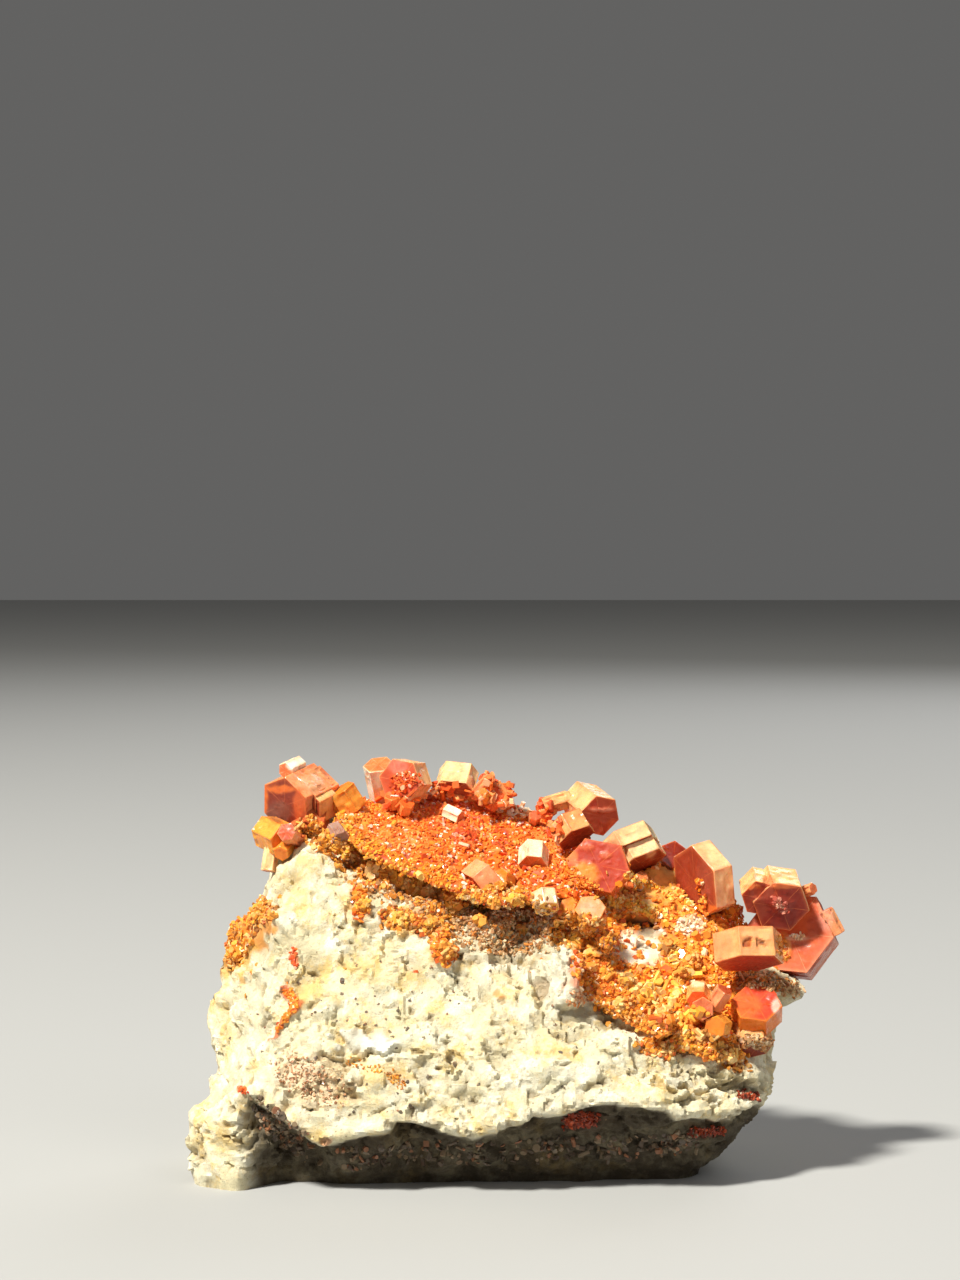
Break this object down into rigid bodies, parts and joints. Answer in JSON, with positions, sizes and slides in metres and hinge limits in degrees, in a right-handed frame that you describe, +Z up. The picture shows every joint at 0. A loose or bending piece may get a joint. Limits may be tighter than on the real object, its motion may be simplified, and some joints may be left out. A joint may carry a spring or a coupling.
{
  "type": "vanadinite specimen",
  "caption": "Vanadinite on matrix: blocky red and tan six-sided crystals crowding the sloping top of a pale, rough, flat-bottomed rock; a display mineral specimen.",
  "frame": {"origin": "under the middle of the bounding box, on the flat broken face that the rock rests on", "axes": "+X along the block towards its low, crystal-crowded end; +Y from the tall pale front to the back; +Z up"},
  "size_m": [0.0762, 0.0399, 0.0474],
  "materials": {
    "pale_rock": "matt, rough and pitted",
    "red_druse": "resinous, sparkling with small crystal faces",
    "yellow_crust": "dull to resinous, granular",
    "red_crystal": "resinous, slightly translucent",
    "tan_crystal": "resinous, slightly translucent",
    "orange_crystal": "resinous, slightly translucent",
    "grey_crystal": "resinous, slightly translucent"
  },
  "bodies": {
    "root": {"back_left_block": "red_crystal", "back_low_block": "red_crystal", "back_middle_pair": "red_crystal", "back_right_block": "red_crystal", "druse_plate": "red_druse", "left_cluster": "red_crystal", "low_left_block": "orange_crystal", "low_red_pair": "red_crystal", "low_small_group": "orange_crystal", "matrix": "pale_rock", "middle_orange_pair": "orange_crystal", "middle_red_block": "red_crystal", "middle_tan_clump": "tan_crystal", "notched_cream_block": "tan_crystal", "plate_cream_block": "tan_crystal", "plate_pink_block": "red_crystal", "plate_ring_block": "red_crystal", "plate_white_block": "tan_crystal", "red_behind_block": "red_crystal", "right_clump": "red_crystal", "right_tan_block": "tan_crystal", "slope_cream_block": "tan_crystal", "small_grey_crystal": "grey_crystal", "small_purple_crystal": "grey_crystal", "tall_wedge": "red_crystal", "top_cream_block": "tan_crystal", "top_tabular_pair": "red_crystal", "yellow_clear_block": "orange_crystal", "yellow_crust": "yellow_crust"}
  },
  "joints": []
}
